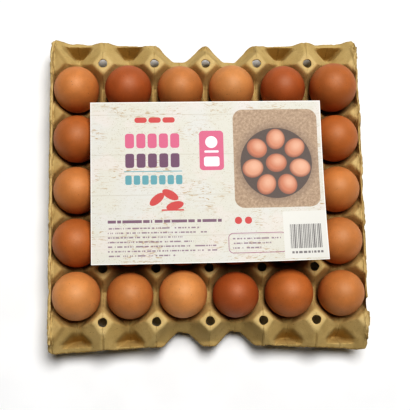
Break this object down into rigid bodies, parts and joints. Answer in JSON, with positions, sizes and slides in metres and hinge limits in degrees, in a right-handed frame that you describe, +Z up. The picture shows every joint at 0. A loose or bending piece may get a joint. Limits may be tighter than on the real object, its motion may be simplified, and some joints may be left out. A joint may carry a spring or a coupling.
{
  "type": "egg tray with eggs",
  "caption": "Open moulded-pulp tray full of brown eggs standing in its cups, with hollow pegs between them and a printed card lying on top.",
  "frame": {"origin": "middle of the tray on the surface that it stands on", "axes": "+Z up; +X along a row of six eggs, to the right seen from the card's front edge; +Y across the rows, towards the back row"},
  "size_m": [0.294, 0.2986, 0.0811],
  "materials": {
    "pulp": "rough moulded paper pulp, yellowish grey-brown",
    "shell_pale": "matt pale brown eggshell",
    "shell_tan": "matt tan eggshell",
    "shell_brown": "matt brown eggshell",
    "shell_russet": "matt dark russet eggshell",
    "card": "satin printed card, whitewashed ground with pink, purple and teal fields"
  },
  "bodies": {
    "root": {"tray": "pulp", "egg_r1_c1": "shell_tan", "egg_r1_c2": "shell_russet", "egg_r1_c3": "shell_tan", "egg_r1_c4": "shell_pale", "egg_r1_c5": "shell_russet", "egg_r1_c6": "shell_brown", "egg_r2_c1": "shell_brown", "egg_r2_c2": "shell_tan", "egg_r2_c3": "shell_brown", "egg_r2_c4": "shell_tan", "egg_r2_c5": "shell_pale", "egg_r2_c6": "shell_brown", "egg_r3_c1": "shell_tan", "egg_r3_c2": "shell_brown", "egg_r3_c3": "shell_pale", "egg_r3_c4": "shell_russet", "egg_r3_c5": "shell_tan", "egg_r3_c6": "shell_tan", "egg_r4_c1": "shell_brown", "egg_r4_c2": "shell_pale", "egg_r4_c3": "shell_tan", "egg_r4_c4": "shell_brown", "egg_r4_c5": "shell_tan", "egg_r4_c6": "shell_tan", "egg_r5_c1": "shell_pale", "egg_r5_c2": "shell_tan", "egg_r5_c3": "shell_pale", "egg_r5_c4": "shell_russet", "egg_r5_c5": "shell_brown", "egg_r5_c6": "shell_tan", "card": "card"}
  },
  "joints": []
}
